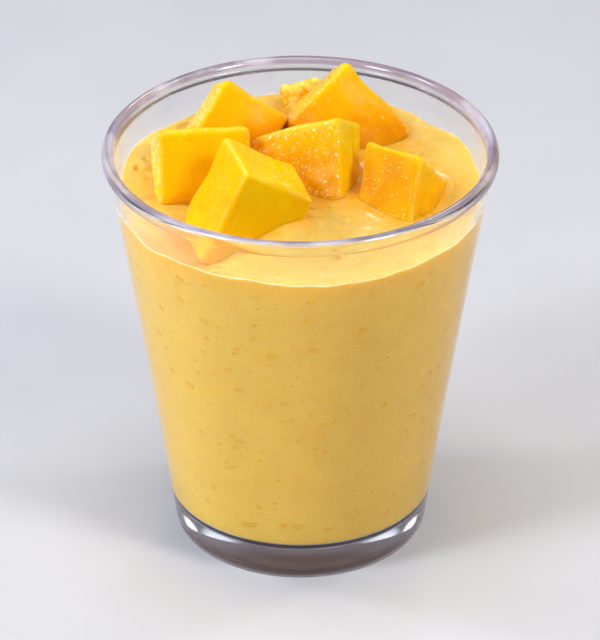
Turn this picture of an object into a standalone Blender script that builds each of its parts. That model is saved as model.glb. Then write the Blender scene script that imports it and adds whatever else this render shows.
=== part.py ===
"""Mango mousse in a tapered drinking glass, topped with seven cut blocks of ripe mango.

The glass is one turned solid, the mousse fills it up to an uneven top, and each block of fruit
is a solid of its own, pressed into the mousse. The origin is the centre of the glass's foot and
+Z runs up the glass's axis. Low Y is the front. All lengths are in metres.
"""
import math

import bmesh
import bpy
from mathutils import Euler, Matrix, Vector

MM = 0.001

# Glass: outside
HEIGHT = 88.0 * MM
FOOT_RADIUS = 26.0 * MM        # where the wall meets the foot's round corner
FOOT_ROUND = 3.7 * MM
NECK_RADIUS = 38.75 * MM       # just under the rolled rim
NECK_HEIGHT = 84.1 * MM
WALL_SAG = 0.33 * MM           # the wall curves in by this much between foot and neck
RIM_RADIUS = 40.0 * MM
RIM_WIDEST_HEIGHT = 86.5 * MM
CROWN_RADIUS = 38.7 * MM       # the rim's highest ring

# Glass: inside
WALL = 1.45 * MM
LIP_DROP = 1.2 * MM            # the rim's inner round ends this far under the crown
FLOOR_HEIGHT = 8.4 * MM        # top of the thick base
FLOOR_ROUND = 1.6 * MM

# Mousse
FILL_HEIGHT = 78.6 * MM        # mean level of the mousse at the wall
FILL_SLOPE = 1.5 / 36.4        # it stands higher at the back than at the front
RIPPLE = 0.35 * MM
GAP = 0.3 * MM                 # kept between neighbouring solids

# Fruit
BLOCK_ROUND = 2.2 * MM         # radius of a block's worn edges
CUT_CLEARANCE = 0.35 * MM      # room that the mousse leaves round a block

SEGMENTS = 64                  # facets round the glass
TOP_RINGS = 10                 # rings across the mousse's top

# name, centre in mm, size (across, deep, tall) in mm, turn, lean and roll in degrees, and how far
# the cut faces lean out of square in degrees. A block is turned about Z after it leans back and
# rolls in the plane of its front face.
BLOCKS = (
    ("mango_left", (-20.0, 1.5, 82.5), (18.5, 14.5, 15.0), (8, 30, 0), 2),
    ("mango_front", (-10.5, -15.5, 81.5), (17.0, 16.5, 21.0), (16, 1, 31), -4),
    ("mango_middle", (1.0, 3.0, 80.0), (19.5, 14.0, 17.5), (-21, 32, -23), 12),
    ("mango_right", (20.5, -2.5, 78.0), (13.5, 16.0, 14.5), (-32, 46, 1), -15),
    ("mango_back_right", (9.0, 21.5, 80.5), (19.5, 11.5, 17.5), (16, 33, 54), 0),
    ("mango_back_left", (-13.5, 19.5, 81.5), (15.5, 12.5, 14.5), (14, 30, 37), 2),
    ("mango_back_small", (0.5, 32.0, 81.5), (9.0, 5.0, 7.5), (0, 31, -10), 0),
)

# Soft swells and hollows of the mousse's top: x, y, height and reach in mm
SWELLS = (
    (5.0, -13.0, 1.8, 8.5),
    (-19.0, -25.0, -1.5, 4.5),
)


def clear_scene():
    """Remove every object, so that only the model is left."""
    for obj in list(bpy.data.objects):
        bpy.data.objects.remove(obj, do_unlink=True)


def material(name, colour, roughness, transmission=0.0):
    """A Principled material with one colour (linear RGB)."""
    mat = bpy.data.materials.new(name)
    mat.use_nodes = True
    shader = mat.node_tree.nodes["Principled BSDF"]
    shader.inputs["Base Color"].default_value = (*colour, 1.0)
    shader.inputs["Roughness"].default_value = roughness
    shader.inputs["Metallic"].default_value = 0.0
    shader.inputs["Transmission Weight"].default_value = transmission
    return mat


def outer_radius(z):
    """Outside of the wall at height z: a straight taper, bowed in by WALL_SAG halfway up."""
    t = (z - FOOT_ROUND) / (NECK_HEIGHT - FOOT_ROUND)
    return FOOT_RADIUS + (NECK_RADIUS - FOOT_RADIUS) * t - WALL_SAG * 4 * t * (1 - t)


def inner_radius(z):
    """Inside of the wall at height z."""
    return outer_radius(z) - WALL


def quarter(centre, reach, start, end, steps):
    """Points (r, z) on an elliptic arc round centre, from start to end degrees, end included."""
    points = []
    for i in range(steps + 1):
        angle = math.radians(start + (end - start) * i / steps)
        points.append((centre[0] + reach[0] * math.cos(angle), centre[1] + reach[1] * math.sin(angle)))
    return points


def wall_line(radius, low, high, steps):
    """Points (r, z) on a wall from height low to height high, ends left out."""
    heights = [low + (high - low) * i / steps for i in range(1, steps)]
    return [(radius(z), z) for z in heights]


def glass_profile():
    """The glass's section, from the foot's centre round the outside and back down the inside."""
    bead_drop = RIM_WIDEST_HEIGHT - NECK_HEIGHT
    crown_rise = HEIGHT - RIM_WIDEST_HEIGHT
    lip_height = HEIGHT - LIP_DROP
    corner_height = FLOOR_HEIGHT + FLOOR_ROUND
    corner_radius = inner_radius(corner_height)
    points = [(0.0, 0.0)]
    points += quarter((FOOT_RADIUS - FOOT_ROUND, FOOT_ROUND), (FOOT_ROUND, FOOT_ROUND), -90, 0, 5)
    points += wall_line(outer_radius, FOOT_ROUND, NECK_HEIGHT, 5)
    points += quarter((NECK_RADIUS, RIM_WIDEST_HEIGHT), (RIM_RADIUS - NECK_RADIUS, bead_drop), -90, 0, 3)
    points += quarter((CROWN_RADIUS, RIM_WIDEST_HEIGHT), (RIM_RADIUS - CROWN_RADIUS, crown_rise), 0, 90, 3)[1:]
    points += quarter((CROWN_RADIUS, lip_height), (CROWN_RADIUS - inner_radius(lip_height), LIP_DROP),
                      90, 180, 3)[1:]
    points += wall_line(inner_radius, lip_height, corner_height, 5)
    points += quarter((corner_radius - FLOOR_ROUND, corner_height), (FLOOR_ROUND, FLOOR_ROUND), 0, -90, 3)
    points.append((0.0, FLOOR_HEIGHT))
    return points


def mousse_profile():
    """The mousse's section before its top is shaped, from the middle of its bottom to the middle of
    its top, GAP clear of the glass all round."""
    corner_height = FLOOR_HEIGHT + FLOOR_ROUND
    corner_radius = inner_radius(corner_height)
    inset = FLOOR_ROUND - GAP
    points = [(0.0, FLOOR_HEIGHT + GAP)]
    points += quarter((corner_radius - FLOOR_ROUND, corner_height), (inset, inset), -90, 0, 3)
    points += wall_line(lambda z: inner_radius(z) - GAP, corner_height, FILL_HEIGHT, 5)
    edge = inner_radius(FILL_HEIGHT) - GAP
    points += [(edge * (1 - i / TOP_RINGS), FILL_HEIGHT) for i in range(TOP_RINGS + 1)]
    return points


def mousse_height(x, y):
    """Height of the mousse's top: a gentle slope, three crossing ripples, and the swells."""
    height = FILL_HEIGHT + FILL_SLOPE * y
    height += RIPPLE * math.sin(x / (5.2 * MM) + y / (9.0 * MM))
    height += RIPPLE * math.sin(y / (4.3 * MM) - x / (11.0 * MM) + 1.0)
    height += 0.5 * RIPPLE * math.sin(x / (3.1 * MM) - y / (3.7 * MM) + 2.0)
    for swell_x, swell_y, rise, reach in SWELLS:
        distance = math.hypot(x / MM - swell_x, y / MM - swell_y)
        height += rise * MM * math.exp(-0.5 * (distance / reach) ** 2)
    return height


def turned(name, profile):
    """A closed solid of revolution round Z, with its poles merged and its faces pointing out."""
    mesh = bpy.data.meshes.new(name)
    bm = bmesh.new()
    verts = [bm.verts.new((r, 0.0, z)) for r, z in profile]
    edges = [bm.edges.new(pair) for pair in zip(verts, verts[1:])]
    bmesh.ops.spin(bm, geom=verts + edges, cent=(0, 0, 0), axis=(0, 0, 1), angle=math.tau,
                   steps=SEGMENTS, use_merge=True)
    bmesh.ops.remove_doubles(bm, verts=bm.verts, dist=0.01 * MM)
    bmesh.ops.recalc_face_normals(bm, faces=bm.faces)
    bm.to_mesh(mesh)
    bm.free()
    return mesh


def add_object(name, mesh, mat):
    """Link an object for a mesh, smooth on its round faces and sharp at its hard edges."""
    mesh.materials.append(mat)
    mesh.shade_smooth()
    mesh.set_sharp_from_angle(angle=math.radians(35))
    obj = bpy.data.objects.new(name, mesh)
    bpy.context.scene.collection.objects.link(obj)
    return obj


def make_glass():
    """The glass: a thick round-cornered base, a thin tapered wall and a rolled rim."""
    clear = material("clear_glass", (0.96, 0.97, 0.98), 0.03, transmission=1.0)
    return add_object("glass", turned("glass", glass_profile()), clear)


def make_mousse():
    """The mousse, before the blocks are cut out of it."""
    mesh = turned("mousse", mousse_profile())
    for vertex in mesh.vertices:
        if vertex.co.z > FILL_HEIGHT - GAP:
            top = mousse_height(vertex.co.x, vertex.co.y)
            edge = inner_radius(FILL_HEIGHT) - GAP
            share = math.hypot(vertex.co.x, vertex.co.y) / edge
            radius = share * (inner_radius(top) - GAP)
            flat = Vector((vertex.co.x, vertex.co.y, 0.0))
            if flat.length > 0:
                flat *= radius / flat.length
            vertex.co = (flat.x, flat.y, top)
    cream = material("mango_mousse", (0.83, 0.50, 0.10), 0.45)
    return add_object("mousse", mesh, cream)


def block_mesh(name, size, skew, grow):
    """A six-sided block with rounded edges. grow is added on every side, edges included."""
    bm = bmesh.new()
    bmesh.ops.create_cube(bm, size=1.0)
    full = Vector(size) * MM + Vector((grow, grow, grow)) * 2
    slant = Matrix.Identity(4)
    slant[0][2] = math.tan(math.radians(skew))
    bmesh.ops.transform(bm, matrix=slant @ Matrix.Diagonal((*full, 1.0)), verts=bm.verts)
    bmesh.ops.bevel(bm, geom=bm.edges, offset=BLOCK_ROUND + grow, segments=2, profile=0.5, affect="EDGES")
    bmesh.ops.recalc_face_normals(bm, faces=bm.faces)
    mesh = bpy.data.meshes.new(name)
    bm.to_mesh(mesh)
    bm.free()
    return mesh


def place_block(obj, centre, turn, lean, roll):
    """Roll the block in the plane of its front face, lean it back, turn it and move it into place."""
    rolled = Euler((0.0, math.radians(roll), 0.0)).to_matrix()
    leaned = Euler((-math.radians(lean), 0.0, 0.0)).to_matrix()
    facing = Euler((0.0, 0.0, math.radians(turn))).to_matrix()
    obj.rotation_euler = (facing @ leaned @ rolled).to_euler()
    obj.location = Vector(centre) * MM


def press_in(mousse, cutter):
    """Cut the hollow that a block leaves in the mousse. The cutter itself is no part of the model."""
    cutter.hide_render = True
    cutter.display_type = "WIRE"
    hollow = mousse.modifiers.new(cutter.name, "BOOLEAN")
    hollow.operation = "DIFFERENCE"
    hollow.object = cutter


def make_blocks(mousse):
    """The seven blocks of fruit, and the hollows they are pressed into."""
    flesh = material("mango_flesh", (0.90, 0.42, 0.01), 0.25)
    for name, centre, size, angles, skew in BLOCKS:
        block = add_object(name, block_mesh(name, size, skew, 0.0), flesh)
        place_block(block, centre, *angles)
        cutter = add_object("hollow_" + name, block_mesh("hollow_" + name, size, skew, CUT_CLEARANCE), flesh)
        place_block(cutter, centre, *angles)
        press_in(mousse, cutter)


def main():
    clear_scene()
    make_glass()
    mousse = make_mousse()
    make_blocks(mousse)


main()
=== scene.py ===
"""Mango mousse in its glass: the finished looks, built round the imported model.

The clear glass, the mousse that fills it, the air trapped in the mousse and the wet blocks of mango
are surfaces worked out with numpy. Every size is in metres, the glass's axis is Z, and low Y is the
front, where the camera stands.
"""

import math

import bpy
import numpy as np
from bpy.props import FloatProperty, FloatVectorProperty, IntProperty, PointerProperty
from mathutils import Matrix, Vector


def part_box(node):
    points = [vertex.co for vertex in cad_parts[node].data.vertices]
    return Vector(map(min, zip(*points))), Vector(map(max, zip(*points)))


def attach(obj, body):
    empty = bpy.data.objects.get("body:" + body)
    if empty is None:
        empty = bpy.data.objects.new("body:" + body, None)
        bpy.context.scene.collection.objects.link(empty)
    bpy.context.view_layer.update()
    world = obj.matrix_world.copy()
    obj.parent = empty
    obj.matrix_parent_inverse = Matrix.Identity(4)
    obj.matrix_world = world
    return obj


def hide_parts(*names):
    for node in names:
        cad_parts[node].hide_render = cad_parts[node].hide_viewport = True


bl_info = {
    "name": "Mango Mousse in a Glass",
    "version": (1, 0, 0),
    "blender": (4, 5, 0),
    "location": "3D View > Sidebar > Mousse",
    "description": "Finishes a glass of mango mousse: glass, mousse, trapped air and wet fruit",
    "category": "Add Mesh",
}

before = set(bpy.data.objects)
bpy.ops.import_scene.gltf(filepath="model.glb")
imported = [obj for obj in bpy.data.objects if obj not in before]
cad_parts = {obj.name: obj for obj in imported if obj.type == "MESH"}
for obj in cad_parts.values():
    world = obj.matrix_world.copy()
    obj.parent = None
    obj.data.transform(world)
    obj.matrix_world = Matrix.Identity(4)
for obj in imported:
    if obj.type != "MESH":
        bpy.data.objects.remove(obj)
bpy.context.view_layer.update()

MM = 0.001
GLASS_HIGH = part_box("glass")[1]

# The glass's lines
HEIGHT = GLASS_HIGH[2]
RIM_RADIUS = GLASS_HIGH[0]
RIM_WIDEST_HEIGHT = HEIGHT - 1.5 * MM
CROWN_RADIUS = RIM_RADIUS - 1.3 * MM
NECK_RADIUS = RIM_RADIUS - 1.15 * MM
NECK_HEIGHT = HEIGHT - 3.2 * MM
BEAD_REACH = 1.35              # how far down the bead's rows run, over the drop to the neck
BEAD_END = 0.72                # where it dies into the wall, as a share of its rows
BEAD_POWER = 2.6               # how square its shoulder is
SKIRT = 0.06                   # how far its soft skirt stands out, as a share of the bead
SKIRT_WIDTH = 0.18             # half the skirt's width, as a share of the bead's rows
FOOT_RADIUS = 26.0 * MM
FOOT_ROUND = 3.7 * MM
WALL_SAG = 0.33 * MM
WALL = 1.45 * MM
LIP_DROP = 2.0 * MM
LIP_START = 5.0 * MM           # how far below the rim the inside starts to stand up straight
LIP_CURVE = 26.0               # how fast it does, in 1 / metre
FOOT_HOLLOW = 0.8 * MM
FLOOR_HEIGHT = 7.9 * MM
FLOOR_ROUND = 3.2 * MM
CORNER_HEIGHT = FLOOR_HEIGHT + FLOOR_ROUND
WAVE_TOP = 77.5 * MM           # the inside of the wall is uneven below this height
# Heights where the rim's painted sheen, a reflection painted into the glass's colour, starts and is
# full, on the crown and on the lip's inner half
CROWN_SHEEN = HEIGHT - 2.7 * MM, HEIGHT - 1.9 * MM
LIP_SHEEN = HEIGHT - 1.5 * MM, HEIGHT - 0.9 * MM
FOOT_PAINTED_REFLECTION = 17 * MM, 9 * MM    # radii where the dusky reflection painted under the foot starts and is full

# The mousse: its level, its grid and what lies round its edge and the fruit
FILL_HEIGHT = 78.6 * MM
FILL_SLOPE = 1.5 / 36.4
RIPPLE = 0.35 * MM
BITE = 0.15 * MM               # how far the mousse reaches into the wall, so that no air gap shows
COLUMNS, BOTTOM_ROWS, SIDE_ROWS, TOP_ROWS = 400, 8, 112, 106
SIDE_CROWDING, TOP_CROWDING = 1.6, 1.15    # how much the rows crowd towards the mousse's edge
CORNER_STEPS = 10
CLEAR_ROWS, DARK_ROWS = 4, 3   # the corner's rows above the painted dark shadow line and in it
# Reaches on its top: out from a block, the mousse that clings to it, the juice close by, which is
# partly painted shade, and the wider halo of painted shade, and in from the wall, the calm strip and
# the climb
CLING_REACH, STAIN_AND_SHADE_REACH, SHADE_HALO_REACH = 0.8 * MM, 1.0 * MM, 5.0 * MM
CALM_REACH, CLIMB_REACH = 1.2 * MM, 0.7 * MM
# Fine relief of the mousse's top: height and size in mm, seed, and whether it runs round the glass
TOP_RELIEF = (
    (0.20, 7.0, 3, True),
    (0.06, 2.6, 4, False),
    (0.04, 2.4, 5, True),
    (0.02, 1.4, 6, False),
)
# The mousse's edge on the wall wavers: rise in mm, waves round the glass and their start in radians
WAVER = ((0.14, 5, 0.6), (0.12, 11, 2.0), (0.10, 23, 0.0), (0.07, 37, 1.0))
# Soft swells and hollows of the mousse's top: x, y, height and reach in mm
SWELLS = (
    (5.0, -13.0, 1.8, 8.5),
    (-1.0, -20.5, 3.6, 6.0),
    (-3.0, -5.0, 1.2, 4.0),
    (-26.0, -9.5, 0.8, 4.0),
    (-19.0, -25.0, -1.5, 4.5),
    (-23.0, -20.0, -3.0, 5.0),
    (27.0, -5.0, -1.8, 5.0),
    (12.0, 3.0, -1.5, 3.5),
    (12.6, -24.6, 0.5, 1.0),
)
# Burst bubbles in the mousse's top: x, y and radius in mm
PITS = (
    (7.1, -26.5, 1.05),
    (10.6, -23.4, 0.6),
    (-15.5, -28.0, 0.65),
    (-33.0, 7.4, 1.0),
    (-31.0, 4.2, 0.8),
    (-31.6, 10.2, 0.7),
    (24.5, 12.5, 0.7),
    (31.0, 2.5, 0.6),
)

# Air bubbles against the wall, in mm: the least radius, what chance adds to it and the power that
# makes large ones rare, and how deep a dish is over its unit height
BUBBLE_RADIUS, BUBBLE_SPREAD, BUBBLE_RARITY, BUBBLE_DEPTH = 0.28, 0.75, 2.6, 0.9
BUBBLE_TILT = 0.12             # how far bubbles are tilted, in radians
WALL_LEAN = 0.155              # how far the wall leans out for each unit that it rises

# Blocks of fruit. size is (across, deep, tall) in mm; angles are turn, lean, roll and the slant of
# the cut, in degrees. pulp says how torn each face is, from 0, a clean cut, to 1, open pulp, and
# ripe how much painted shade deepens each face towards orange, both for the faces -x +x -y +y
# -z +z. fibres is the axis that the fibres run along, shade_fall says how fast painted shade deepens
# a block's colour downwards, and beads is how far its open pulp swells into beads, in mm.
BLOCKS = {
    "mango_left": dict(
        size=(18.5, 14.5, 15.0), angles=(8, 30, 0, 2), pulp=(0.9, 0.2, 0.0, 0.2, 0.2, 0.5),
        ripe=(0.0, 0.1, 0.14, 0.1, 0.1, 0.1), fibres=2, shade_fall=0.62, beads=0.16),
    "mango_front": dict(
        size=(17.0, 16.5, 21.0), angles=(16, 1, 31, -4), pulp=(0.55, 0.2, 0.0, 0.2, 0.2, 0.6),
        ripe=(0.28, 0.0, 0.0, 0.1, 0.1, 0.12), fibres=2, shade_fall=0.30, beads=0.10),
    "mango_middle": dict(
        size=(19.5, 14.0, 17.5), angles=(-21, 32, -23, 12), pulp=(0.6, 0.1, 0.62, 0.2, 0.0, 0.6),
        ripe=(0.2, -0.25, 0.38, 0.1, 0.1, 0.25), fibres=0, shade_fall=0.50, beads=0.10),
    "mango_right": dict(
        size=(13.5, 16.0, 14.5), angles=(-32, 46, 1, -15), pulp=(0.2, 0.2, 0.3, 0.2, 0.2, 0.3),
        ripe=(0.2, 0.2, 0.62, 0.1, 0.1, 0.3), fibres=2, shade_fall=0.85, beads=0.10),
    "mango_back_right": dict(
        size=(19.5, 11.5, 17.5), angles=(16, 33, 54, 0), pulp=(0.7, 0.3, 0.0, 0.2, 0.2, 0.5),
        ripe=(0.0, 0.1, 0.16, 0.1, 0.1, 0.1), fibres=0, shade_fall=0.78, beads=0.14),
    "mango_back_left": dict(
        size=(15.5, 12.5, 14.5), angles=(14, 30, 37, 2), pulp=(0.9, 0.1, 0.0, 0.2, 0.3, 0.3),
        ripe=(0.0, 0.1, 0.14, 0.1, 0.1, 0.1), fibres=0, shade_fall=0.62, beads=0.18),
    "mango_back_small": dict(
        size=(9.0, 5.0, 7.5), angles=(0, 31, -10, 0), pulp=(1.0, 1.0, 1.0, 0.5, 0.5, 1.0),
        ripe=(0.1, 0.1, 0.2, 0.1, 0.1, 0.1), fibres=0, shade_fall=0.62, beads=0.35),
}

FALL_REACH = 13 * MM           # how far down painted shade deepens a block's colour
NEIGHBOUR_REACH = 2.2 * MM     # how far the next block deepens it with painted shade
CUT_EDGE_REACH = 1.1 * MM          # in from a cut edge, where painted shade deepens it and it is more torn
EDGE_HIGHLIGHT_REACH = 0.45 * MM         # in from a cut edge, where a pale highlight is painted
PULP_CELL = 1.35 * MM          # across a bead of open pulp

# Soft lights: name, bearing in degrees clockwise from the camera's side as seen from above, rise
# above the table in degrees, width and height in metres, power as a share of the main light's, and
# tint
COOL, WARM, PLAIN = (0.93, 1.0, 1.16), (1.0, 0.97, 0.93), (1.0, 1.0, 1.0)
SOFTBOXES = (
    ("key_light", 54, 43, (0.24, 0.28), 0.87, COOL),
    ("front_light", 64, 16, (0.40, 0.40), 0.70, COOL),
    ("side_light_left", 100, 48, (0.14, 0.36), 0.48, COOL),
    ("fill_light_right", -50, 44, (0.24, 0.34), 1.06, WARM),
    ("top_light", 0, 88, (0.50, 0.50), 0.72, PLAIN),
    ("side_light_right", -112, 50, (0.14, 0.36), 0.34, WARM),
    ("back_light_left", 148, 33, (0.34, 0.26), 0.06, COOL),
    ("back_light_right", -148, 33, (0.34, 0.26), 0.06, COOL),
    ("edge_light_left", 124, 32, (0.24, 0.22), 0.05, PLAIN),
    ("edge_light_right", -124, 32, (0.24, 0.22), 0.05, PLAIN),
    ("gloss_light", -168, 42, (0.11, 0.11), 0.14, PLAIN),
)

CAMERA_TARGET = Vector((0.0, 0.0, 0.5 * HEIGHT))
CAMERA_RISE = math.radians(30.61)
CAMERA_DISTANCE = 1.2
CAMERA_LENS = 329.9            # mm, on a 36 mm sensor
CAMERA_SHIFT = (-0.0007, 0.0235)
LIGHT_DISTANCE = 0.8
FLOOR_REACH, FLOOR_DROP = 3.0, 0.15 * MM


# ---------------------------------------------------------------- shapes

def outer_radius(z):
    """Outside of the wall at height z: a straight taper, bowed in by WALL_SAG halfway up."""
    t = (z - FOOT_ROUND) / (NECK_HEIGHT - FOOT_ROUND)
    return FOOT_RADIUS + (NECK_RADIUS - FOOT_RADIUS) * t - WALL_SAG * 4 * t * (1 - t)


def inner_radius(z):
    """Inside of the wall at height z: a wall's thickness in from the outside."""
    return outer_radius(z) - WALL


def inner_line(z):
    """Inside of the wall where it is clear: inner_radius, less LIP_CURVE times the square of the
    height above LIP_START below the rim, so that the wall stands up straight at the lip."""
    return inner_radius(z) - LIP_CURVE * np.maximum(z - HEIGHT + LIP_START, 0) ** 2


def ramp(value, low, high):
    """Straight ramp: 0 where value is low, 1 where it is high, and held at the ends."""
    return np.clip((value - low) / (high - low), 0, 1)


def arc(centre, reach, start, end, steps):
    """Rows (r, z) on an ellipse: centre plus reach times the cosine and sine of an even run of
    angles from start to end degrees."""
    angle = np.radians(np.linspace(start, end, steps + 1))
    return np.column_stack([centre[0] + reach[0] * np.cos(angle),
                            centre[1] + reach[1] * np.sin(angle)])


def wall_rows(radius, low, high, steps):
    """Rows (r, z) on a wall: an even run of heights between low and high, and radius at each."""
    z = np.linspace(low, high, steps + 1)[1:-1]
    return np.column_stack([radius(z), z])


def glass_profile():
    """The glass's section: across the foot and round its corner, up the outside, over the rolled
    rim, down the inside and across the top of the base, as quarter ellipses joined by tapered
    lines. The bead is the root of 1 less a power of the way down, with a soft bell where it dies
    into the wall. The foot is a shallow parabola."""
    lip_height = HEIGHT - LIP_DROP
    corner_radius = inner_radius(CORNER_HEIGHT)
    drop = np.linspace(1, 0, 22)
    bead_drop = (RIM_WIDEST_HEIGHT - NECK_HEIGHT) * BEAD_REACH
    skirt = SKIRT * np.exp(-((drop - BEAD_END) / SKIRT_WIDTH) ** 2)
    bulge = np.clip(np.clip(1 - (drop / BEAD_END) ** BEAD_POWER, 0, 1) ** 0.5 + skirt, 0, 1)
    bead = np.column_stack([outer_radius(NECK_HEIGHT) + (RIM_RADIUS - NECK_RADIUS) * bulge,
                            RIM_WIDEST_HEIGHT - bead_drop * drop])
    crown = (RIM_RADIUS - CROWN_RADIUS, HEIGHT - RIM_WIDEST_HEIGHT)
    lip = (CROWN_RADIUS - inner_line(lip_height), LIP_DROP)
    foot = FOOT_RADIUS - FOOT_ROUND
    foot_face = np.linspace(0, foot, 12)[:-1]
    hollow = FOOT_HOLLOW * (1 - (foot_face / foot_face[-1]) ** 2)
    floor_face = np.linspace(corner_radius - FLOOR_ROUND, 0, 12)[1:]
    return np.concatenate([
        np.column_stack([foot_face, hollow]),
        arc((foot, FOOT_ROUND), (FOOT_ROUND, FOOT_ROUND), -90, 0, 14),
        wall_rows(outer_radius, FOOT_ROUND, bead[0, 1], 40),
        bead,
        arc((CROWN_RADIUS, RIM_WIDEST_HEIGHT), crown, 0, 90, 10)[1:],
        arc((CROWN_RADIUS, lip_height), lip, 90, 180, 10)[1:],
        wall_rows(inner_line, lip_height, CORNER_HEIGHT, 50),
        arc((corner_radius - FLOOR_ROUND, CORNER_HEIGHT), (FLOOR_ROUND, FLOOR_ROUND), 0, -90, 8),
        np.column_stack([floor_face, FLOOR_HEIGHT + 0 * floor_face]),
    ])


def round_grid(radius, height, angle):
    """Points of a closed shape round Z: radius and height are (rows, columns) arrays whose first
    and last rows are single points on the axis, and angle is one angle per column."""
    inner = slice(1, -1)
    ring = np.stack([radius[inner] * np.cos(angle), radius[inner] * np.sin(angle),
                     height[inner]], axis=-1)
    low, high = height[0, 0], height[-1, 0]
    return np.concatenate([[(0, 0, low)], ring.reshape(-1, 3), [(0, 0, high)]])


def round_faces(rings, columns):
    """Faces for round_grid: a fan at each pole, and quads between neighbouring rings, wound so
    that they face outwards when the rows run from the bottom round the outside to the top."""
    here = np.arange(columns)
    after = (here + 1) % columns
    last = rings * columns + 1
    row = 1 + np.arange(rings - 1)[:, None] * columns
    quads = np.stack([row + here, row + after, row + after + columns, row + here + columns], axis=-1)
    bottom = np.stack([0 * here, 1 + after, 1 + here], axis=-1)
    top = np.stack([last - columns + here, last - columns + after, last + 0 * here], axis=-1)
    return bottom.tolist() + quads.reshape(-1, 4).tolist() + top.tolist()


def soft_noise(points, size, seed):
    """Smooth random values from -1 to 1: random numbers on a cubic lattice whose cells have the
    given size, blended between the eight corners round each point with the curve 3t^2 - 2t^3."""
    lattice = np.random.default_rng(seed).uniform(-1.0, 1.0, (32, 32, 32))
    scaled = points / size
    low = np.floor(scaled).astype(int)
    t = scaled - low
    t = t * t * (3.0 - 2.0 * t)
    total = 0.0
    for corner in np.ndindex(2, 2, 2):
        cell = (low + corner) % 32
        weight = np.where(corner, t, 1.0 - t).prod(axis=-1)
        total = total + weight * lattice[cell[..., 0], cell[..., 1], cell[..., 2]]
    return total


def cell_distance(points, size, seed):
    """How far each point is from the nearest of a crowd of random middles, one in each cubic cell
    of the given size, over that size: 0 on a middle and about 1 between them."""
    jitter = np.random.default_rng(seed).uniform(0.1, 0.9, (16, 16, 16, 3))
    scaled = points / size
    low = np.floor(scaled).astype(int)
    nearest = np.full(points.shape[:-1], 9.0)
    for step in np.ndindex(3, 3, 3):
        cell = low + step - 1
        wrapped = cell % 16
        middle = cell + jitter[wrapped[..., 0], wrapped[..., 1], wrapped[..., 2]]
        nearest = np.minimum(nearest, np.linalg.norm(scaled - middle, axis=-1))
    return nearest


def mousse_height(x, y):
    """Height of the mousse's top: a gentle slope, three crossing ripples, and the swells, which die
    away towards the wall as 1 less e to the minus squared distance."""
    calm = 1 - np.exp(-((inner_radius(FILL_HEIGHT) - np.hypot(x, y)) / (1.5 * MM)) ** 2)
    height = FILL_HEIGHT + FILL_SLOPE * y
    height = height + RIPPLE * np.sin(x / (5.2 * MM) + y / (9.0 * MM))
    height = height + RIPPLE * np.sin(y / (4.3 * MM) - x / (11.0 * MM) + 1.0)
    height = height + 0.5 * RIPPLE * np.sin(x / (3.1 * MM) - y / (3.7 * MM) + 2.0)
    for swell_x, swell_y, rise, reach in SWELLS:
        distance = np.hypot(x / MM - swell_x, y / MM - swell_y)
        height = height + calm * rise * MM * np.exp(-0.5 * (distance / reach) ** 2)
    return height


def turn_about(axis, degrees):
    """3 x 3 matrix of a turn about X, Y or Z by the right-hand rule."""
    c, s = math.cos(math.radians(degrees)), math.sin(math.radians(degrees))
    first, second = (axis + 1) % 3, (axis + 2) % 3
    matrix = np.eye(3)
    matrix[first, first] = matrix[second, second] = c
    matrix[first, second], matrix[second, first] = -s, s
    return matrix


def block_frame(name):
    """A block's middle, and the 3 x 3 matrix from its own axes to the model's: slanted, rolled in
    the plane of its front face, leaned back, then turned about Z."""
    turn, lean, roll, slant = BLOCKS[name]["angles"]
    low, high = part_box(name)
    slanted = np.eye(3)
    slanted[0, 2] = math.tan(math.radians(slant))
    matrix = turn_about(2, turn) @ turn_about(0, -lean) @ turn_about(1, roll) @ slanted
    return (np.array(low) + np.array(high)) / 2, matrix


def block_distance(points, name):
    """How far points are outside a block, less than 0 inside it: the length of what is left over on
    each of the block's own axes beyond half its size."""
    centre, matrix = block_frame(name)
    half = np.array(BLOCKS[name]["size"]) * MM / 2
    over = np.abs((points - centre) @ np.linalg.inv(matrix).T) - half
    return np.linalg.norm(np.maximum(over, 0), axis=-1) + np.minimum(over.max(axis=-1), 0)


def nearness(points, reach, but=None):
    """How close points are to the blocks, leaving out the one named: the sum of e to the minus
    distance over reach, which has no crease between two blocks."""
    return sum(np.exp(-np.maximum(block_distance(points, name), 0) / reach)
               for name in BLOCKS if name != but)


def cube_lattice(count):
    """A cube's surface as whole-number grid points from 0 to count, each kept once, and its quads
    wound to face outwards."""
    quads = []
    u, v = np.meshgrid(np.arange(count), np.arange(count), indexing="ij")
    for axis in range(3):
        for side in (0, count):
            loop = []
            order = ((0, 0), (1, 0), (1, 1), (0, 1)) if side else ((0, 0), (0, 1), (1, 1), (1, 0))
            for du, dv in order:
                point = np.empty((count, count, 3), dtype=int)
                point[..., axis] = side
                point[..., (axis + 1) % 3] = u + du
                point[..., (axis + 2) % 3] = v + dv
                loop.append(point.reshape(-1, 3))
            quads.append(np.stack(loop, axis=1))
    corners = np.concatenate(quads)
    unique, index = np.unique(corners.reshape(-1, 3), axis=0, return_inverse=True)
    return unique, index.reshape(-1, 4)


def add_piece(name, points, faces, material, **values):
    """Make a smooth-shaded object at the origin from points and faces, ride it on the model's body,
    and store each of values as a number or a vector per point."""
    mesh = bpy.data.meshes.new(name)
    mesh.from_pydata(points.tolist(), [], faces if isinstance(faces, list) else faces.tolist())
    mesh.shade_smooth()
    for key, value in values.items():
        value = np.asarray(value, dtype=np.float32)
        kind, field = ("FLOAT", "value") if value.ndim == 1 else ("FLOAT_VECTOR", "vector")
        mesh.attributes.new(key, kind, "POINT").data.foreach_set(field, value.ravel())
    mesh.materials.append(material)
    piece = bpy.data.objects.new(name, mesh)
    bpy.context.scene.collection.objects.link(piece)
    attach(piece, "root")
    return piece


# ---------------------------------------------------------------- materials

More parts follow.
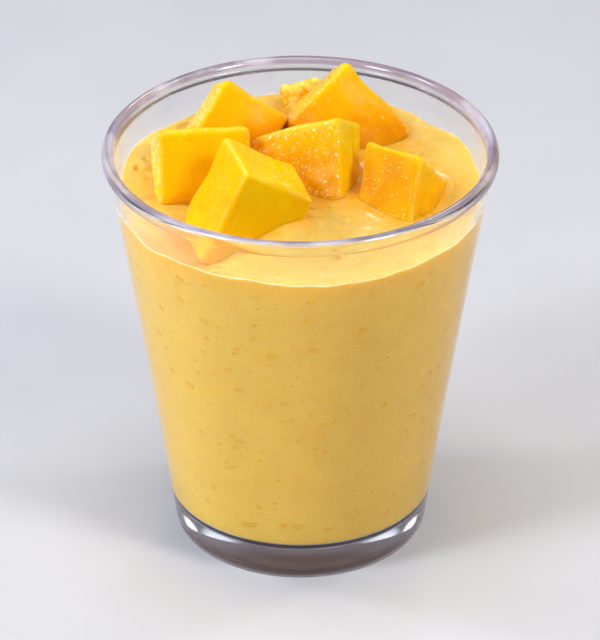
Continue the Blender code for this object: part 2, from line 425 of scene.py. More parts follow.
def add_node(tree, kind, inputs=None, **settings):
    """Add a shader node. inputs maps a socket's name or number to a value or a node's output."""
    node = tree.nodes.new("ShaderNode" + kind)
    for key, value in settings.items():
        setattr(node, key, value)
    for key, value in (inputs or {}).items():
        if isinstance(value, bpy.types.NodeSocket):
            tree.links.new(value, node.inputs[key])
        else:
            node.inputs[key].default_value = value
    return node


def new_material(name):
    """An empty node material, with its output node."""
    material = bpy.data.materials.new(name)
    material.use_nodes = True
    material.node_tree.nodes.clear()
    return material, add_node(material.node_tree, "OutputMaterial")


def colour(value):
    """A linear colour as the four numbers that a colour socket takes."""
    return (*value[:3], 1.0)


def blend(tree, share, first, second):
    """Colour that goes from first to second as share goes from 0 to 1."""
    mix = add_node(tree, "Mix", {0: share, 6: first, 7: second}, data_type="RGBA")
    return mix.outputs[2]


def lay(tree, body, tint, share, most=1.0):
    """Lay a tint over a body colour: none where share is 0, and as much as most where it is 1."""
    return blend(tree, share if most == 1.0 else times(tree, share, most), body, colour(tint))


def spread(tree, value, low, high, start=0.0, end=1.0):
    """value carried smoothly from low..high to start..end, and held at the ends."""
    node = add_node(tree, "MapRange", {"Value": value, 1: low, 2: high, 3: start, 4: end},
                    interpolation_type="SMOOTHSTEP")
    return node.outputs["Result"]


def maths(tree, operation, first, second=0.0):
    """One arithmetic step on two numbers."""
    return add_node(tree, "Math", {0: first, 1: second}, operation=operation).outputs[0]


def times(tree, first, second):
    """Two numbers multiplied."""
    return maths(tree, "MULTIPLY", first, second)


def vectors(tree, operation, first, second=(0.0, 0.0, 0.0)):
    """One arithmetic step on two vectors."""
    return add_node(tree, "VectorMath", {0: first, 1: second}, operation=operation).outputs[0]


def scaled(tree, vector, factor):
    """A vector times a number."""
    return add_node(tree, "VectorMath", {0: vector, "Scale": factor}, operation="SCALE").outputs[0]


def reach(tree, vector):
    """How long a vector is."""
    return add_node(tree, "VectorMath", {0: vector}, operation="LENGTH").outputs["Value"]


def stretched(tree, scale):
    """Object coordinates multiplied by scale along each axis, for patterns in metres."""
    place = add_node(tree, "TexCoord")
    return add_node(tree, "Mapping", {"Vector": place.outputs["Object"], "Scale": scale}).outputs[0]


def attribute(tree, name):
    """A number stored on the piece's points."""
    return add_node(tree, "Attribute", attribute_name=name).outputs["Fac"]


def noise(tree, vector, scale, detail=2.0, roughness=0.5):
    """Soft cloudy noise from 0 to 1."""
    return add_node(tree, "TexNoise", {"Vector": vector, "Scale": scale, "Detail": detail,
                                       "Roughness": roughness}).outputs["Fac"]


def clear_glass(look):
    """Clear glass that lets straight light through to what stands in it, with a soft grey-violet
    reflection painted on the crown of its rim and a dusky reflection painted under its foot."""
    material, out = new_material("clear_glass")
    tree = material.node_tree
    crown, foot = attribute(tree, "crown"), attribute(tree, "foot")
    facing = add_node(tree, "LayerWeight", {"Blend": 0.5}).outputs["Facing"]
    # Mostly where the rim is seen edge-on, a grey-violet reflection is painted into the glass's
    # colour, with paler painted streaks
    edge = times(tree, spread(tree, crown, 0.0, 1.0), spread(tree, facing, 0.25, 0.65))
    edge = maths(tree, "MAXIMUM", edge, spread(tree, crown, 1.0, 2.0))
    drift = spread(tree, noise(tree, stretched(tree, (1.0, 1.0, 2.0)), 62.0, 3.0), 0.46, 0.62)
    sheen = blend(tree, drift, colour(look.crown), colour(look.pale_crown_reflection))
    tint = blend(tree, edge, colour(look.tint), sheen)
    # A dusky reflection painted under the foot, where the glass is also made less clear
    tint = blend(tree, foot, tint, colour(look.foot))
    clear = maths(tree, "SUBTRACT", spread(tree, edge, 0.0, 1.0, 1.0, 0.4), times(tree, foot, 0.5))
    glass = add_node(tree, "BsdfPrincipled", {
        "Base Color": tint, "Roughness": 0.0, "IOR": look.bending, "Transmission Weight": clear})
    open_way = add_node(tree, "BsdfTransparent", {"Color": (0.95, 0.955, 0.96, 1.0)})
    path = add_node(tree, "LightPath")
    either = add_node(tree, "MixShader", {
        0: path.outputs["Is Shadow Ray"], 1: glass.outputs[0], 2: open_way.outputs[0]})
    tree.links.new(either.outputs[0], out.inputs["Surface"])
    return material


def speckles(tree, vector, scale, radius, share):
    """Round dots, 1 in their middles: some cells of a loose crowd hold one, told by the cell's own
    random colour. radius is in cells, and share, from 0 to 1, is how many of the cells do."""
    crowd = add_node(tree, "TexVoronoi", {"Vector": vector, "Scale": scale}, feature="F1")
    lot = add_node(tree, "SeparateColor", {0: crowd.outputs["Color"]}).outputs[0]
    chosen = spread(tree, maths(tree, "ADD", lot, share), 1.0, 1.03)
    return times(tree, spread(tree, crowd.outputs["Distance"], radius, 0.4 * radius), chosen)


def mango_mousse(look):
    """Creamy mousse: fine grain, pinprick air bubbles painted deeper as shade, paler streaks and a
    wet top painted darker, juice with painted shade near the fruit, and a pale line along its edge
    on the glass with a deeper band under it. Its bottom is painted as unlit shade, with a paler
    reflection painted in a ring and a dark shadow line painted round the corner."""
    material, out = new_material("mango_mousse")
    tree = material.node_tree
    flat = stretched(tree, (1.0, 1.0, 1.0))
    oval = stretched(tree, (1.0, 1.0, 1.5))
    wet, juice, below, under = (attribute(tree, name) for name in ("wet", "juice", "below", "under"))
    cloud = noise(tree, flat, 140.0, 3.0)
    grain = noise(tree, flat, 1300.0, 3.0, 0.6)
    body = blend(tree, spread(tree, cloud, 0.35, 0.65), colour(look.cream), colour(look.shade))
    # The wet top is painted darker than the sides, against the stronger light that falls on it from
    # above
    body = lay(tree, body, look.top, wet)
    body = lay(tree, body, look.air, spread(tree, grain, 0.48, 0.75), 0.5)
    body = lay(tree, body, look.film, spread(tree, grain, 0.5, 0.25), 0.35)

    # Pinpricks of trapped air, painted deeper as shade in their hollows, and streaks of the paler
    # inside on the wet top
    dot = maths(tree, "MAXIMUM", speckles(tree, oval, 620.0, 0.30, 0.2),
                speckles(tree, flat, 1500.0, 0.26, 0.35))
    dot = times(tree, dot, spread(tree, wet, 0.0, 1.0, 1.0, 0.6))
    body = lay(tree, body, look.air, dot, 0.8)
    streak = times(tree, spread(tree, noise(tree, flat, 230.0, 2.0), 0.42, 0.68), wet)
    body = lay(tree, body, look.cream, streak, 0.3)

    # The band under the mousse's edge, the pale line on it, and juice with painted shade near the
    # fruit
    band = times(tree, spread(tree, below, 0.2 * MM, 1.0 * MM),
                 spread(tree, below, 6.0 * MM, 1.5 * MM))
    body = lay(tree, body, look.air, band, 0.45)
    line = spread(tree, maths(tree, "ABSOLUTE", below), 0.3 * MM, 0.08 * MM)
    body = lay(tree, body, look.edge, line, 0.7)
    # Juice with painted shade near the fruit
    ragged = times(tree, juice, spread(tree, noise(tree, flat, 420.0), 0.25, 0.7, 0.5, 1.15))
    body = lay(tree, body, look.juice, spread(tree, ragged, 0.0, 1.0, 0.0, 0.85))

    # The bottom, painted as unlit shade, with a paler reflection painted in a ring round it and a
    # dark shadow line painted round its corner
    outward = reach(tree, stretched(tree, (1.0, 1.0, 0.0)))
    ring = times(tree, spread(tree, outward, 9.0 * MM, 19.0 * MM),
                 spread(tree, noise(tree, flat, 75.0), 0.42, 0.62, 0.25, 1.0))
    bottom = blend(tree, ring, colour(look.bottom), colour(look.pale_bottom_reflection))
    body = blend(tree, spread(tree, under, 0.0, 0.5), body, bottom)
    body = lay(tree, body, look.under, spread(tree, under, 0.5, 1.0))

    gloss = times(tree, wet, spread(tree, noise(tree, flat, 260.0), 0.4, 0.7, 0.3, 1.0))
    rough = spread(tree, gloss, 0.0, 1.0, 0.62, 0.16)
    height = maths(tree, "SUBTRACT", times(tree, grain, 0.3), dot)
    height = maths(tree, "ADD", height, times(tree, noise(tree, flat, 520.0, 2.0), wet))
    bump = add_node(tree, "Bump", {"Height": height, "Strength": 0.4, "Distance": 0.08 * MM})
    shader = add_node(tree, "BsdfPrincipled", {
        "Base Color": body, "Roughness": rough, "Normal": bump.outputs[0], "IOR": 1.36,
        "Subsurface Weight": 1.0, "Subsurface Radius": (1.0, 0.85, 0.5),
        "Subsurface Scale": look.glow})
    tree.links.new(shader.outputs[0], out.inputs["Surface"])
    return material


def air_pocket(look):
    """Mousse behind a trapped bubble: painted shade makes it deeper in colour towards the middle of
    its hollow.
    """
    material, out = new_material("air_pocket")
    tree = material.node_tree
    cloud = noise(tree, stretched(tree, (1.0, 1.0, 1.0)), 900.0)
    hollow = times(tree, attribute(tree, "hollow"), spread(tree, cloud, 0.2, 0.8, 0.8, 1.0))
    body = blend(tree, hollow, colour(look.cream), colour(look.pocket_shade))
    shader = add_node(tree, "BsdfPrincipled", {
        "Base Color": body, "Roughness": spread(tree, cloud, 0.3, 0.7, 0.25, 0.4), "IOR": 1.36,
        "Subsurface Weight": 1.0, "Subsurface Radius": (1.0, 0.5, 0.12),
        "Subsurface Scale": 0.05 * look.glow})
    tree.links.new(shader.outputs[0], out.inputs["Surface"])
    return material


def mango_flesh(look):
    """Ripe wet mango: yellow at its thin and high parts, with painted shade that deepens it to
    orange low down, between blocks, along cut edges and on some faces. It is paler along its fibres
    and on the beads of its torn faces, with a pale highlight painted along cut edges and bright
    painted glints on its flecks. The patterns follow each block's own axes, with the fibres along
    the third."""
    material, out = new_material("mango_flesh")
    tree = material.node_tree
    cut = add_node(tree, "Attribute", attribute_name="cut").outputs["Vector"]
    along = add_node(tree, "Mapping", {"Vector": cut, "Scale": (1.0, 1.0, 0.09)}).outputs[0]
    ember, pulp = attribute(tree, "ember"), attribute(tree, "pulp")
    # Painted shade: from yellow through orange to the deepest colour, deeper low down, near other
    # blocks, along cut edges and on each face by its ripe
    cloud = noise(tree, cut, 160.0, 3.0)
    depth = maths(tree, "ADD", ember, spread(tree, cloud, 0.3, 0.7, -0.1, 0.1))
    body = blend(tree, spread(tree, depth, 0.05, 0.75), colour(look.yellow), colour(look.orange))
    body = lay(tree, body, look.ember, spread(tree, depth, 0.7, 1.1))
    fibre = spread(tree, noise(tree, along, 1900.0, 2.0), 0.42, 0.7, 0.3, 1.0)
    body = lay(tree, body, look.fibre, times(tree, fibre, spread(tree, pulp, 0.3, 0.7, 0.04, 0.2)))
    bead = spread(tree, attribute(tree, "bead"), 0.25, 0.7)
    bead = times(tree, bead, spread(tree, pulp, 0.66, 0.9))
    body = lay(tree, body, look.pulp, bead, 0.7)
    patch = noise(tree, cut, 420.0, 3.0)
    # A pale highlight painted in broken stretches along the cut edges
    edge_highlight = times(tree, attribute(tree, "corner"), spread(tree, patch, 0.36, 0.6, 0.1, 0.6))
    body = lay(tree, body, look.pulp, edge_highlight)

    # Flecks of painted glint, small all over and thick on torn faces, on a pattern that a fine noise
    # bends
    bend = add_node(tree, "TexNoise", {"Vector": cut, "Scale": 1500.0, "Detail": 1.0})
    bent = vectors(tree, "ADD", cut, scaled(tree, bend.outputs["Color"], 0.9 * MM))
    ragged = maths(tree, "ADD", times(tree, pulp, spread(tree, patch, 0.36, 0.62, 0.1, 1.2)), 0.02)
    fine = times(tree, ragged, spread(tree, pulp, 0.65, 0.85, 0.7, 0.08))
    thick = times(tree, spread(tree, pulp, 0.5, 0.9), spread(tree, patch, 0.4, 0.58, 0.1, 0.75))
    painted_glint = maths(tree, "MAXIMUM", speckles(tree, bent, 2300.0, 0.38, fine),
                  speckles(tree, bent, 820.0, 0.38, thick))
    body = lay(tree, body, look.spark, painted_glint)

    # The flecks' own gloss: each small cell turns the coat its own way
    cells = add_node(tree, "TexVoronoi", {"Vector": bent, "Scale": 2700.0}, feature="F1")
    turn = scaled(tree, vectors(tree, "SUBTRACT", cells.outputs["Color"], (0.5, 0.5, 0.5)), 0.55)
    face = add_node(tree, "NewGeometry").outputs["Normal"]
    facet = vectors(tree, "NORMALIZE", vectors(tree, "ADD", face, turn))
    facing = add_node(tree, "LayerWeight", {"Blend": 0.5}).outputs["Facing"]
    coat = times(tree, painted_glint, spread(tree, facing, 0.45, 0.75, 1.0, 0.0))

    grain = noise(tree, cut, 2200.0, 2.0)
    rough = spread(tree, grain, 0.3, 0.7, 0.18, 0.34)
    height = maths(tree, "ADD", times(tree, painted_glint, 0.25), times(tree, grain, 0.2))
    bump = add_node(tree, "Bump", {"Height": height, "Strength": 0.5, "Distance": 0.05 * MM})
    shader = add_node(tree, "BsdfPrincipled", {
        "Base Color": body, "Roughness": rough, "Normal": bump.outputs[0], "IOR": 1.36,
        "Subsurface Weight": 1.0, "Subsurface Radius": (1.0, 0.9, 0.3),
        "Subsurface Scale": look.glow, "Specular IOR Level": 0.08,
        "Coat Weight": coat, "Coat Roughness": 0.12, "Coat IOR": 1.4, "Coat Normal": facet})
    tree.links.new(shader.outputs[0], out.inputs["Surface"])
    return material


def pale_table(look):
    """The pale floor, with the faintest mottling."""
    material, out = new_material("pale_table")
    tree = material.node_tree
    cloud = noise(tree, stretched(tree, (1.0, 1.0, 1.0)), 30.0)
    dim = colour([0.97 * level for level in look.floor])
    pale = blend(tree, spread(tree, cloud, 0.3, 0.7), colour(look.floor), dim)
    shader = add_node(tree, "BsdfPrincipled", {"Base Color": pale, "Roughness": 0.6})
    tree.links.new(shader.outputs[0], out.inputs["Surface"])
    return material


# ---------------------------------------------------------------- settings

def tone(name, default, description):
    """A colour that the user may change."""
    return FloatVectorProperty(name=name, description=description, default=default,
                               subtype="COLOR", min=0.0, max=1.0)


def length(name, default, description):
    """A length that the user may change."""
    return FloatProperty(name=name, description=description, default=default,
                         unit="LENGTH", min=0.0, precision=5)


class GlassSettings(bpy.types.PropertyGroup):
    tint: tone("Tint", (0.975, 0.98, 0.985), "Colour of the clear glass")
    # The crown's two colours are a reflection painted on the rim
    crown: tone("Crown", (0.36, 0.29, 0.36), "Colour of the sheen on the crown of the rim")
    pale_crown_reflection: tone("Pale Crown", (0.66, 0.61, 0.70), "Colour of the paler stretches of that sheen")
    # Colour of the dusky reflection painted under the foot
    foot: tone("Foot", (0.42, 0.24, 0.20), "Colour of the haze under the foot")
    bending: FloatProperty(name="Refraction", description="Index of refraction", default=1.5,
                           min=1.0, max=2.0)
    wave: length("Waviness", 0.03 * MM, "How uneven the inside of the wall is")
    segments: IntProperty(name="Segments", description="Facets round the glass", default=256,
                          min=32)


class MousseSettings(bpy.types.PropertyGroup):
    cream: tone("Cream", (0.82, 0.565, 0.066), "Main colour of the mousse")
    shade: tone("Shade", (0.80, 0.54, 0.060), "Colour of its faint mottling")
    air: tone("Air", (0.80, 0.43, 0.004), "Colour behind trapped air")
    # Colour of the shade painted inside the larger bubbles
    pocket_shade: tone("Pocket", (0.80, 0.455, 0.002), "Colour inside the larger bubbles")
    # Colour of the wet top, painted darker than the sides against the light that falls on it
    top: tone("Top", (0.68, 0.465, 0.086), "Colour of the wet top")
    # The bottom's colours: a dark shadow line, unlit shade and a ring of paler reflection, all
    # painted
    under: tone("Under", (0.03, 0.025, 0.04), "Colour of the dark line round the bottom's corner")
    bottom: tone("Bottom", (0.38, 0.20, 0.14), "Colour of the mousse's unlit bottom")
    pale_bottom_reflection: tone("Pale Bottom", (0.72, 0.66, 0.74), "Colour of the lighter ring round it")
    film: tone("Film", (0.80, 0.64, 0.32), "Colour of the palest grains")
    # A pale line along the mousse's edge on the glass
    edge: tone("Edge", (0.66, 0.60, 0.50), "Colour of the dried line at the mousse's edge")
    # Colour of juice and of the shade painted near the fruit
    juice: tone("Juice", (0.78, 0.36, 0.004), "Colour of juice that has run into the mousse")
    glow: length("Glow", 1.2 * MM, "How deep light goes into the mousse")
    climb: length("Climb", 0.15 * MM, "How far the mousse climbs up the wall of the glass")
    cling: length("Cling", 0.7 * MM, "How far the mousse climbs up a block of fruit")
    bubbles: IntProperty(name="Bubbles", description="Larger bubbles against the wall",
                         default=400, min=0)


class FruitSettings(bpy.types.PropertyGroup):
    # Yellow is the flesh where it is lit; orange and the deepest colour are painted shade
    yellow: tone("Yellow", (0.995, 0.59, 0.001), "Colour of high and thin parts")
    orange: tone("Orange", (0.96, 0.455, 0.001), "Colour of the sides")
    ember: tone("Ember", (0.72, 0.29, 0.001), "Colour low down and between blocks")
    fibre: tone("Fibre", (0.995, 0.66, 0.012), "Colour of pale fibres")
    # Also the colour of the highlight painted along cut edges
    pulp: tone("Pulp", (1.0, 0.74, 0.18), "Colour of open pulp")
    # Colour of the glints painted on the flecks
    spark: tone("Spark", (1.0, 0.80, 0.36), "Colour of the bright flecks")
    glow: length("Glow", 1.8 * MM, "How deep light goes into the fruit")
    edge: length("Edge", 1.4 * MM, "Radius of the cut edges")
    grain: IntProperty(name="Grain", description="Grid cells along each side of a block",
                       default=56, min=8)


class StudioSettings(bpy.types.PropertyGroup):
    floor: tone("Floor", (0.66, 0.66, 0.655), "Colour of the floor")
    room: tone("Room", (0.13, 0.125, 0.17), "Colour of the room round the lights")
    power: FloatProperty(name="Power", description="What the lights' shares are multiplied by",
                         default=3.0, min=0.0, unit="POWER")


# ---------------------------------------------------------------- operators

class MOUSSE_OT_turn_glass(bpy.types.Operator):
    """Turn the clear glass on its axis"""
    bl_idname = "mousse.turn_glass"
    bl_label = "Turn Glass"

    def execute(self, context):
        look = context.scene.mousse_glass
        profile = glass_profile()
        angle = np.linspace(0, math.tau, look.segments, endpoint=False)
        radius = np.repeat(profile[:, :1], len(angle), axis=1)
        height = np.repeat(profile[:, 1:], len(angle), axis=1)
        past_rim = (np.arange(len(profile)) > profile[:, 1].argmax())[:, None]
        uneven = past_rim & (height < WAVE_TOP) & (radius > 0.8 * inner_radius(CORNER_HEIGHT))
        wave = np.sin(3 * angle + height / (17 * MM)) * np.sin(2 * angle - height / (11 * MM) + 1)
        radius = radius + uneven * look.wave * wave
        r, z = profile.T
        # Where the rim's painted reflection goes: the crown, and the lip's inner half
        lip = ramp(r, RIM_RADIUS, (RIM_RADIUS + CROWN_RADIUS) / 2) * ramp(z, *LIP_SHEEN)
        crown = ramp(z, *CROWN_SHEEN) + lip
        crown = np.concatenate([[0], np.repeat(crown[1:-1], len(angle)), [0]])
        # Where the dusky reflection is painted under the foot
        foot = ramp(r, *FOOT_PAINTED_REFLECTION) * (z <= FOOT_HOLLOW)
        foot = np.concatenate([[1], np.repeat(foot[1:-1], len(angle)), [0]])
        glass = add_piece("glass_body", round_grid(radius, height, angle),
                          round_faces(len(profile) - 2, len(angle)), clear_glass(look),
                          crown=crown, foot=foot)
        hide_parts("glass")
        return {"FINISHED"}


def shore_height(angle):
    """Height of the mousse's edge on the wall: its level there, plus a wavering of four sines."""
    edge = inner_radius(FILL_HEIGHT)
    level = mousse_height(edge * np.cos(angle), edge * np.sin(angle))
    return level + MM * sum(rise * np.sin(waves * angle + start) for rise, waves, start in WAVER)


def mousse_top(share, angle, look):
    """The mousse's top at a share of the way out to the wall: its level, carried up the wall and up
    the blocks by falls of e to the minus distance, with streaks that run round the glass, and pits
    with a raised lip, each the difference of two bells of e to the minus squared distance. Gives
    x, y, height, how much juice and painted shade there is and how far the wall is."""
    shore = shore_height(angle) + look.climb
    edge = inner_radius(shore) + BITE
    x, y = share * edge * np.cos(angle), share * edge * np.sin(angle)
    level = mousse_height(x, y)
    points = np.stack([x, y, level], axis=-1)
    gap = (1 - share) * edge
    streaks = np.stack([0.5 * x, 0.5 * y, 1.6 * share * edge], axis=-1)
    relief = sum(rise * MM * soft_noise(streaks if runs_round else points, size * MM, seed)
                 for rise, size, seed, runs_round in TOP_RELIEF)
    cling = look.cling * np.tanh(nearness(points, CLING_REACH))
    # Juice with painted shade close to the blocks, and a wide halo of painted shade round them
    juice = 0.5 * nearness(points, STAIN_AND_SHADE_REACH) + 0.5 * nearness(points, SHADE_HALO_REACH)
    juice = np.clip(juice, 0, 1)
    calm = np.exp(-gap / CALM_REACH)
    height = level + relief * (1 - calm) + cling * (1 - calm)
    height = height + (shore - height) * np.exp(-gap / CLIMB_REACH)
    for pit_x, pit_y, size in PITS:
        away = np.hypot(x / MM - pit_x, y / MM - pit_y) / size
        pit = 0.8 * np.exp(-(away / 0.8) ** 2) - 0.22 * np.exp(-((away - 1.2) / 0.35) ** 2)
        height = height - size * MM * pit
        # A pit's hollow gets the same colour, as painted shade
        juice = np.maximum(juice, 0.75 * np.exp(-away ** 2))
    return x, y, height, juice, gap


class MOUSSE_OT_fill_glass(bpy.types.Operator):
    """Fill the glass with mousse"""
    bl_idname = "mousse.fill_glass"
    bl_label = "Fill with Mousse"

    def execute(self, context):
        look = context.scene.mousse_filling
        angle = np.linspace(0, math.tau, COLUMNS, endpoint=False)
        corner_radius = inner_radius(CORNER_HEIGHT)
        low_share = np.linspace(0, 1, BOTTOM_ROWS)[:-1, None]
        bottom_radius = low_share * (corner_radius - FLOOR_ROUND) + 0 * angle
        corner = arc((corner_radius - FLOOR_ROUND, CORNER_HEIGHT),
                     (FLOOR_ROUND + BITE, FLOOR_ROUND + BITE), -90, 0, CORNER_STEPS)
        shore = shore_height(angle) + look.climb
        side_share = 1 - np.linspace(1, 0, SIDE_ROWS)[1:, None] ** SIDE_CROWDING
        side_height = CORNER_HEIGHT + side_share * (shore - CORNER_HEIGHT)
        share = 1 - np.linspace(0, 1, TOP_ROWS)[1:, None] ** TOP_CROWDING
        x, y, top_height, stain_and_shade, gap = mousse_top(share, angle[None, :], look)
        radius = np.concatenate([bottom_radius, corner[:, :1] + 0 * angle,
                                 inner_radius(side_height) + BITE, np.hypot(x, y)])
        height = np.concatenate([bottom_radius * 0 + FLOOR_HEIGHT - BITE, corner[:, 1:] + 0 * angle,
                                 side_height, top_height])
        points = round_grid(radius, height, angle)

        wet, juice, under = np.zeros((3, len(points)))
        # The bottom is painted as unlit shade, and a dark shadow line is painted round its corner
        dark_end = 1 + (len(low_share) + len(corner) - CLEAR_ROWS) * COLUMNS
        under[:dark_end] = 0.5
        under[dark_end - DARK_ROWS * COLUMNS:dark_end] = 1.0
        first_top = 1 + (len(low_share) - 1 + len(corner) + len(side_height)) * COLUMNS
        below = np.full(len(points), 20 * MM)
        below[first_top - side_height.size:first_top] = (shore - side_height).ravel()
        below[first_top:-1] = -gap[:-1].ravel()
        wet[first_top:] = 1.0
        juice[first_top:-1] = stain_and_shade[:-1].ravel()
        mousse = add_piece("mousse_body", points, round_faces(len(radius) - 2, COLUMNS),
                           mango_mousse(look), wet=wet, juice=juice, below=below, under=under)
        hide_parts("mousse")
        return {"FINISHED"}


def dish(columns):
    """One trapped bubble, a shallow dish one unit across its radius that opens along +Z: rings from
    the middle of its underside round its rim to the middle of its hollow, and how hollow each is."""
    # The third number is how hollow a ring is, which sets the painted shade there
    ring = np.array([(0.0, -0.4, 0), (0.7, -0.35, 0), (1.0, 0.0, 0), (0.95, 0.17, 0.1),
                     (0.8, 0.13, 0.75), (0.45, 0.05, 1), (0.0, 0.03, 1)])
    angle = np.linspace(0, math.tau, columns, endpoint=False)
    radius, height = ring[:, :1] + 0 * angle, ring[:, 1:2] + 0 * angle
    hollow = np.concatenate([ring[:1, 2], np.repeat(ring[1:-1, 2], columns), ring[-1:, 2]])
    return round_grid(radius, height, angle), round_faces(len(ring) - 2, columns), hollow


def scattered(shape, faces, middles, sideways, upward, outward, scale):
    """Copies of one small shape: each point is its middle, plus the shape's x, y and z along the
    three given directions, times its three scales."""
    points = middles[:, None] + sum(
        shape[None, :, axis, None] * scale[:, None, axis, None] * direction[:, None]
        for axis, direction in enumerate((sideways, upward, outward)))
    count = len(shape)
    copies = [[corner + copy * count for corner in face]
              for copy in range(len(middles)) for face in faces]
    return points.reshape(-1, 3), copies


class MOUSSE_OT_trap_bubbles(bpy.types.Operator):
    """Trap air bubbles against the wall"""
    bl_idname = "mousse.trap_bubbles"
    bl_label = "Trap Bubbles"

    def execute(self, context):
        look = context.scene.mousse_filling
        rng = np.random.default_rng(21)
        count = look.bubbles
        angle = rng.uniform(0, math.tau, count)
        height = rng.uniform(CORNER_HEIGHT + 2 * MM, FILL_HEIGHT - 3 * MM, count)
        size = (BUBBLE_RADIUS + BUBBLE_SPREAD * rng.uniform(0, 1, count) ** BUBBLE_RARITY) * MM
        tilt = rng.normal(0, BUBBLE_TILT, count)
        around = np.stack([-np.sin(angle), np.cos(angle), 0 * angle], axis=-1)
        outward = np.stack([np.cos(angle), np.sin(angle), 0 * angle - WALL_LEAN], axis=-1)
        outward /= np.linalg.norm(outward, axis=-1, keepdims=True)
        rising = np.cross(outward, around)
        across = np.cos(tilt)[:, None] * around + np.sin(tilt)[:, None] * rising
        upright = np.cross(outward, across)
        radius = inner_radius(height) + BITE
        middles = np.stack([radius * np.cos(angle), radius * np.sin(angle), height], axis=-1)
        scale = np.stack([size * rng.uniform(1.0, 1.4, count), size * rng.uniform(0.62, 0.9, count),
                          np.full(count, BUBBLE_DEPTH * MM)], axis=-1)
        shape, faces, hollow = dish(14)
        points, copies = scattered(shape, faces, middles, across, upright, outward, scale)
        bubbles = add_piece("air_bubbles", points, copies, air_pocket(look),
                            hollow=np.tile(hollow, count))
        return {"FINISHED"}


def block_points(name, look):
    """The points and faces of a block of fruit. Its surface is the box's core plus the edge's radius
    along the direction from the core, pushed in and out along that direction by soft noise, fibres
    and beads. Gives as well, for each point, how torn it is, its face's painted shade, how beaded it
    is, how far in from the nearest cut edge, and its place on the block's own axes with the fibres'
    axis last."""
    block = BLOCKS[name]
    centre, matrix = block_frame(name)
    lattice, faces = cube_lattice(look.grain)
    t = 2 * lattice / look.grain - 1
    t = t + 0.13 * np.sin(np.pi * t)
    half = np.array(block["size"]) * MM / 2
    cube = half * t
    core = np.clip(cube, look.edge - half, half - look.edge)
    normal = cube - core
    normal = normal / np.linalg.norm(normal, axis=-1, keepdims=True)
    base = core + look.edge * normal
    face = np.maximum(np.stack([-normal, normal], axis=-1), 0).reshape(len(base), 6) ** 3
    pulp, ripe = face @ block["pulp"], face @ block["ripe"]
    seed = 40 + list(BLOCKS).index(name)
    spot = base + 0.1 * seed
    along = np.ones(3)
    along[block["fibres"]] = 0.12
    push = 0.5 * MM * soft_noise(spot, 7 * MM, seed)
    push = push + 0.10 * MM * soft_noise(spot, 2.4 * MM, seed + 1)
    push = push + (1 - pulp) * 0.02 * MM * soft_noise(spot * along, 0.7 * MM, seed + 2)
    push = push + pulp * 0.07 * MM * soft_noise(spot, 1.1 * MM, seed + 4)
    bead = np.clip(1.15 - 1.25 * cell_distance(spot, PULP_CELL, seed + 3), 0, 1)
    push = push + pulp * block["beads"] * MM * bead
    points = centre + (base + push[:, None] * normal) @ matrix.T
    inset = np.sort(half - np.abs(cube), axis=-1)[:, 1]
    cut = np.roll(spot, 2 - block["fibres"], axis=-1)
    return points, faces, pulp, ripe, bead, inset, cut


class MOUSSE_OT_cut_fruit(bpy.types.Operator):
    """Cut the blocks of mango and lay them in the mousse"""
    bl_idname = "mousse.cut_fruit"
    bl_label = "Cut Fruit"

    def execute(self, context):
        look = context.scene.mousse_fruit
        flesh = mango_flesh(look)
        for name in BLOCKS:
            points, faces, pulp, ripe, bead, inset, cut = block_points(name, look)
            # Painted shade: deeper low down, near other blocks, along cut edges and on each face by
            # its ripe
            fall = (points[:, 2].max() - points[:, 2]) / FALL_REACH
            between = np.minimum(nearness(points, NEIGHBOUR_REACH, but=name), 1)
            cut_edge_nearness = np.exp(-inset / CUT_EDGE_REACH)
            ember = 0.12 + BLOCKS[name]["shade_fall"] * fall + 0.35 * between + ripe + 0.3 * cut_edge_nearness
            ember = np.clip(ember, 0, 1)
            torn = np.clip(pulp + 0.38 * cut_edge_nearness, 0, 1)
            # How much pale highlight is painted along a cut edge, more on torn faces
            corner = (0.35 + 0.65 * pulp) * np.exp(-(inset / EDGE_HIGHLIGHT_REACH) ** 2)
            piece = add_piece(name.replace("mango", "fruit"), points, faces, flesh,
                              pulp=torn, ember=ember, bead=bead, corner=corner, cut=cut)
            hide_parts(name)
        return {"FINISHED"}


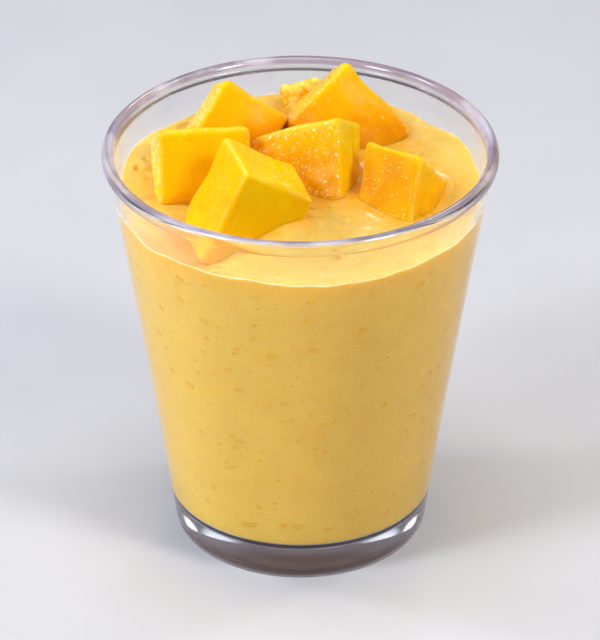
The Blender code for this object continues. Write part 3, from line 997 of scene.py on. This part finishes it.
class MOUSSE_OT_set_studio(bpy.types.Operator):
    """Set up the pale floor, the soft lights and the camera"""
    bl_idname = "mousse.set_studio"
    bl_label = "Set Studio"

    def softbox(self, name, bearing, rise, size, power, tint):
        """An oblong light that faces the glass, with edges that fade out: it stands at a bearing in
        degrees clockwise from the camera's side as seen from above, and a rise above the table."""
        light = bpy.data.lights.new(name, "AREA")
        light.shape = "RECTANGLE"
        light.size, light.size_y = size
        light.energy = power
        light.color = tint
        light.use_nodes = True
        tree = light.node_tree
        place = add_node(tree, "NewGeometry").outputs["Parametric"]
        from_middle = reach(tree, vectors(tree, "SUBTRACT", place, (0.5, 0.5, 0.0)))
        tree.links.new(spread(tree, from_middle, 0.52, 0.2, 0.0, 2.0),
                       tree.nodes["Emission"].inputs["Strength"])
        lamp = bpy.data.objects.new(name, light)
        bearing, rise = math.radians(bearing), math.radians(rise)
        away = Vector((-math.sin(bearing) * math.cos(rise), -math.cos(bearing) * math.cos(rise),
                       math.sin(rise)))
        lamp.location = CAMERA_TARGET + away * LIGHT_DISTANCE
        lamp.rotation_euler = away.to_track_quat("Z", "Y").to_euler()
        bpy.context.scene.collection.objects.link(lamp)

    def execute(self, context):
        scene, look = context.scene, context.scene.mousse_studio
        floor_mesh = bpy.data.meshes.new("floor")
        corners = [(x * FLOOR_REACH, y * FLOOR_REACH, -FLOOR_DROP)
                   for x, y in ((-1, -1), (1, -1), (1, 1), (-1, 1))]
        floor_mesh.from_pydata(corners, [], [(0, 1, 2, 3)])
        floor_mesh.materials.append(pale_table(look))
        floor = bpy.data.objects.new("floor", floor_mesh)
        scene.collection.objects.link(floor)
        for name, bearing, rise, size, share, tint in SOFTBOXES:
            self.softbox(name, bearing, rise, size, share * look.power, tint)
        world = bpy.data.worlds.new("room")
        world.use_nodes = True
        world.node_tree.nodes["Background"].inputs["Color"].default_value = colour(look.room)
        scene.world = world
        camera = bpy.data.cameras.new("camera")
        camera.sensor_width = 36.0
        camera.lens = CAMERA_LENS
        camera.shift_x, camera.shift_y = CAMERA_SHIFT
        eye = bpy.data.objects.new("camera", camera)
        away = Vector((0, -math.cos(CAMERA_RISE), math.sin(CAMERA_RISE)))
        eye.location = CAMERA_TARGET + CAMERA_DISTANCE * away
        eye.rotation_euler = (math.pi / 2 - CAMERA_RISE, 0.0, 0.0)
        scene.collection.objects.link(eye)
        scene.camera = eye
        scene.view_settings.view_transform = "Standard"
        return {"FINISHED"}


class MOUSSE_PT_dessert(bpy.types.Panel):
    """Every step of the dessert, with its sizes and colours"""
    bl_idname = "MOUSSE_PT_dessert"
    bl_label = "Mango Mousse"
    bl_space_type = "VIEW_3D"
    bl_region_type = "UI"
    bl_category = "Mousse"

    def draw(self, context):
        for group, _, steps in STEPS:
            box = self.layout.box()
            settings = getattr(context.scene, group)
            for key in settings.__annotations__:
                box.prop(settings, key)
            for step in steps:
                box.operator(step.bl_idname)


STEPS = (
    ("mousse_glass", GlassSettings, (MOUSSE_OT_turn_glass,)),
    ("mousse_filling", MousseSettings, (MOUSSE_OT_fill_glass, MOUSSE_OT_trap_bubbles)),
    ("mousse_fruit", FruitSettings, (MOUSSE_OT_cut_fruit,)),
    ("mousse_studio", StudioSettings, (MOUSSE_OT_set_studio,)),
)


def register():
    for group, settings, steps in STEPS:
        for cls in (settings, *steps):
            bpy.utils.register_class(cls)
        setattr(bpy.types.Scene, group, PointerProperty(type=settings))
    bpy.utils.register_class(MOUSSE_PT_dessert)


def unregister():
    bpy.utils.unregister_class(MOUSSE_PT_dessert)
    for group, settings, steps in reversed(STEPS):
        delattr(bpy.types.Scene, group)
        for cls in (*steps, settings):
            bpy.utils.unregister_class(cls)


def main():
    register()
    bpy.ops.mousse.turn_glass()
    bpy.ops.mousse.fill_glass()
    bpy.ops.mousse.trap_bubbles()
    bpy.ops.mousse.cut_fruit()
    bpy.ops.mousse.set_studio()


if __name__ == "__main__":
    main()
